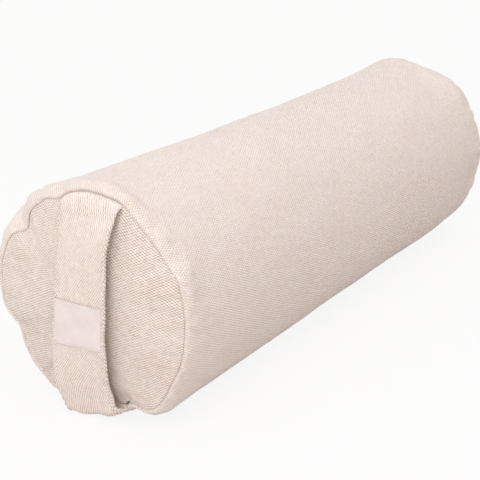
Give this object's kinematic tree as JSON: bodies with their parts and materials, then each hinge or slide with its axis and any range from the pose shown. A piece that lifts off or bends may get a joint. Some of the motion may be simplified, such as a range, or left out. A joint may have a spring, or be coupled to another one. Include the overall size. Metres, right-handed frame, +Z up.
{
  "type": "yoga bolster",
  "caption": "Round yoga bolster: a stuffed cushion in a zipped cotton twill cover, with a sewn carry strap and a bare label on one domed end.",
  "frame": {"origin": "middle of the flat patch on the underside of the cover, on the floor, halfway along the bolster", "axes": "+Y along the bolster away from the carry strap, +Z up, +X to the side opposite the zip"},
  "size_m": [0.2292, 0.679, 0.2146],
  "materials": {
    "cotton_twill": "unbleached coarse twill, matt",
    "satin_label": "satin weave, soft sheen",
    "zip_tape": "herringbone tape",
    "zip_teeth": "moulded, satin",
    "zip_metal": "brushed nickel",
    "calico": "plain weave, matt",
    "kapok": "loose fibre"
  },
  "bodies": {
    "root": {"cover_body_panel": "cotton_twill", "cover_front_panel": "cotton_twill", "cover_rear_panel": "cotton_twill", "handle_upper_leg": "cotton_twill", "handle_lower_leg": "cotton_twill", "zip_tape_upper": "zip_tape", "zip_tape_lower": "zip_tape", "zip_teeth_upper": "zip_teeth", "zip_teeth_lower": "zip_teeth", "zip_bottom_stop": "zip_metal", "zip_top_stop_upper": "zip_metal", "zip_top_stop_lower": "zip_metal", "liner_body_panel": "calico", "liner_front_panel": "calico", "liner_rear_panel": "calico", "kapok_filling": "kapok"},
    "handle": {"handle_grip": "cotton_twill", "blank_label": "satin_label"},
    "slider": {"zip_slider": "zip_metal"},
    "pull": {"zip_pull_tab": "zip_metal"}
  },
  "joints": [
    {"name": "handle_lift", "type": "slide", "parent": "root", "child": "handle", "axis": [0, -0.9063, 0.4226], "range_m": [-0.004, 0.024], "stiffness_N_per_m": 40, "deforming": ["handle_upper_leg", "handle_lower_leg"]},
    {"name": "zip_run", "type": "slide", "parent": "root", "child": "slider", "axis": [0, -1, 0], "range_m": [0, 0.3755], "deforming": ["zip_teeth_upper", "zip_teeth_lower"]},
    {"name": "zip_pull_flip", "type": "hinge", "parent": "slider", "child": "pull", "pos_m": [-0.11074, 0.1857, 0.06402], "axis": [0.309, 0, -0.9511], "range_deg": [0, 180]}
  ]
}
